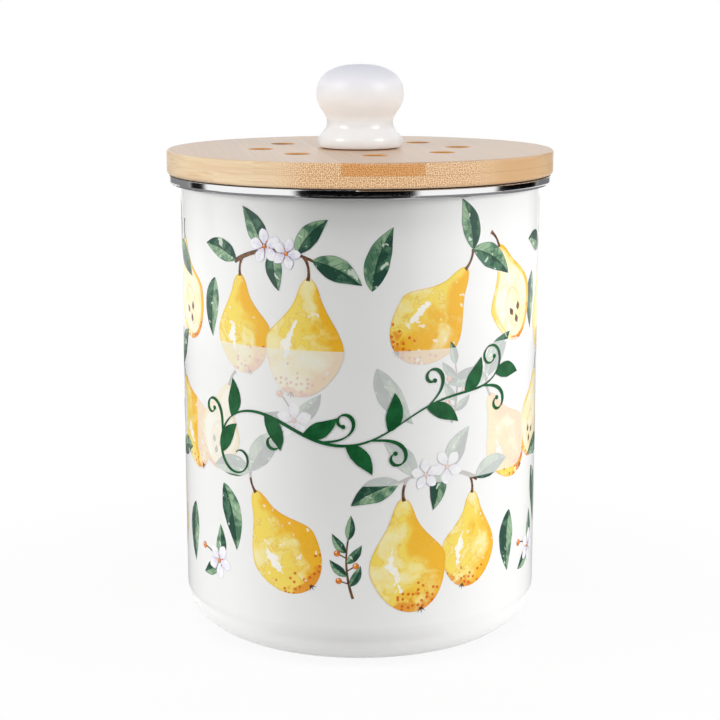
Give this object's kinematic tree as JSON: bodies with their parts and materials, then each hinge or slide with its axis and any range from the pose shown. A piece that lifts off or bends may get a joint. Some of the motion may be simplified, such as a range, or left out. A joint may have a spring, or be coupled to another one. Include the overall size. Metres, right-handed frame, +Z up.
{
  "type": "compost caddy",
  "caption": "Round enamelled countertop compost caddy with a steel rim, a vented bamboo lid, a ceramic knob and a carbon filter cage under the lid.",
  "frame": {"origin": "centre of the base on the surface that the caddy stands on", "axes": "+Z up along the axis of the canister; the front looks along -Y, +X is to the right when the caddy is seen from the front"},
  "size_m": [0.172, 0.172, 0.2527],
  "materials": {
    "enamel": "glossy white vitreous enamel on steel, printed on the outside",
    "rim_steel": "polished stainless steel",
    "bamboo": "sanded bamboo, lightly oiled",
    "silicone": "satin translucent white silicone",
    "knob_glaze": "glossy white glaze",
    "pad_rubber": "matt dark rubber",
    "brass": "turned brass",
    "screw_steel": "zinc-plated steel",
    "holder_plastic": "moulded off-white plastic",
    "carbon_felt": "needled felt loaded with activated carbon"
  },
  "bodies": {
    "canister": {"canister_shell": "enamel", "rim_band": "rim_steel"},
    "gasket": {"lid_gasket": "silicone"},
    "lid": {"lid_upper_ply": "bamboo", "lid_lower_ply": "bamboo", "lid_plug": "bamboo", "knob": "knob_glaze", "knob_pad": "pad_rubber", "knob_insert": "brass", "knob_screw": "screw_steel", "knob_washer": "screw_steel", "filter_collar": "holder_plastic", "collar_screws": "screw_steel"},
    "filter_holder": {"filter_cage": "holder_plastic", "carbon_filter": "carbon_felt"}
  },
  "joints": [
    {"name": "lid_lift", "type": "slide", "parent": "canister", "child": "gasket", "axis": [0, 0, 1], "range_m": [0, 0.15]},
    {"name": "lid_turn", "type": "hinge", "parent": "gasket", "child": "lid", "pos_m": [0, 0, 0.2052], "axis": [0, 0, 1], "continuous": true},
    {"name": "cage_pull", "type": "slide", "parent": "lid", "child": "filter_holder", "axis": [0, 0, -1], "range_m": [0, 0.045]}
  ]
}
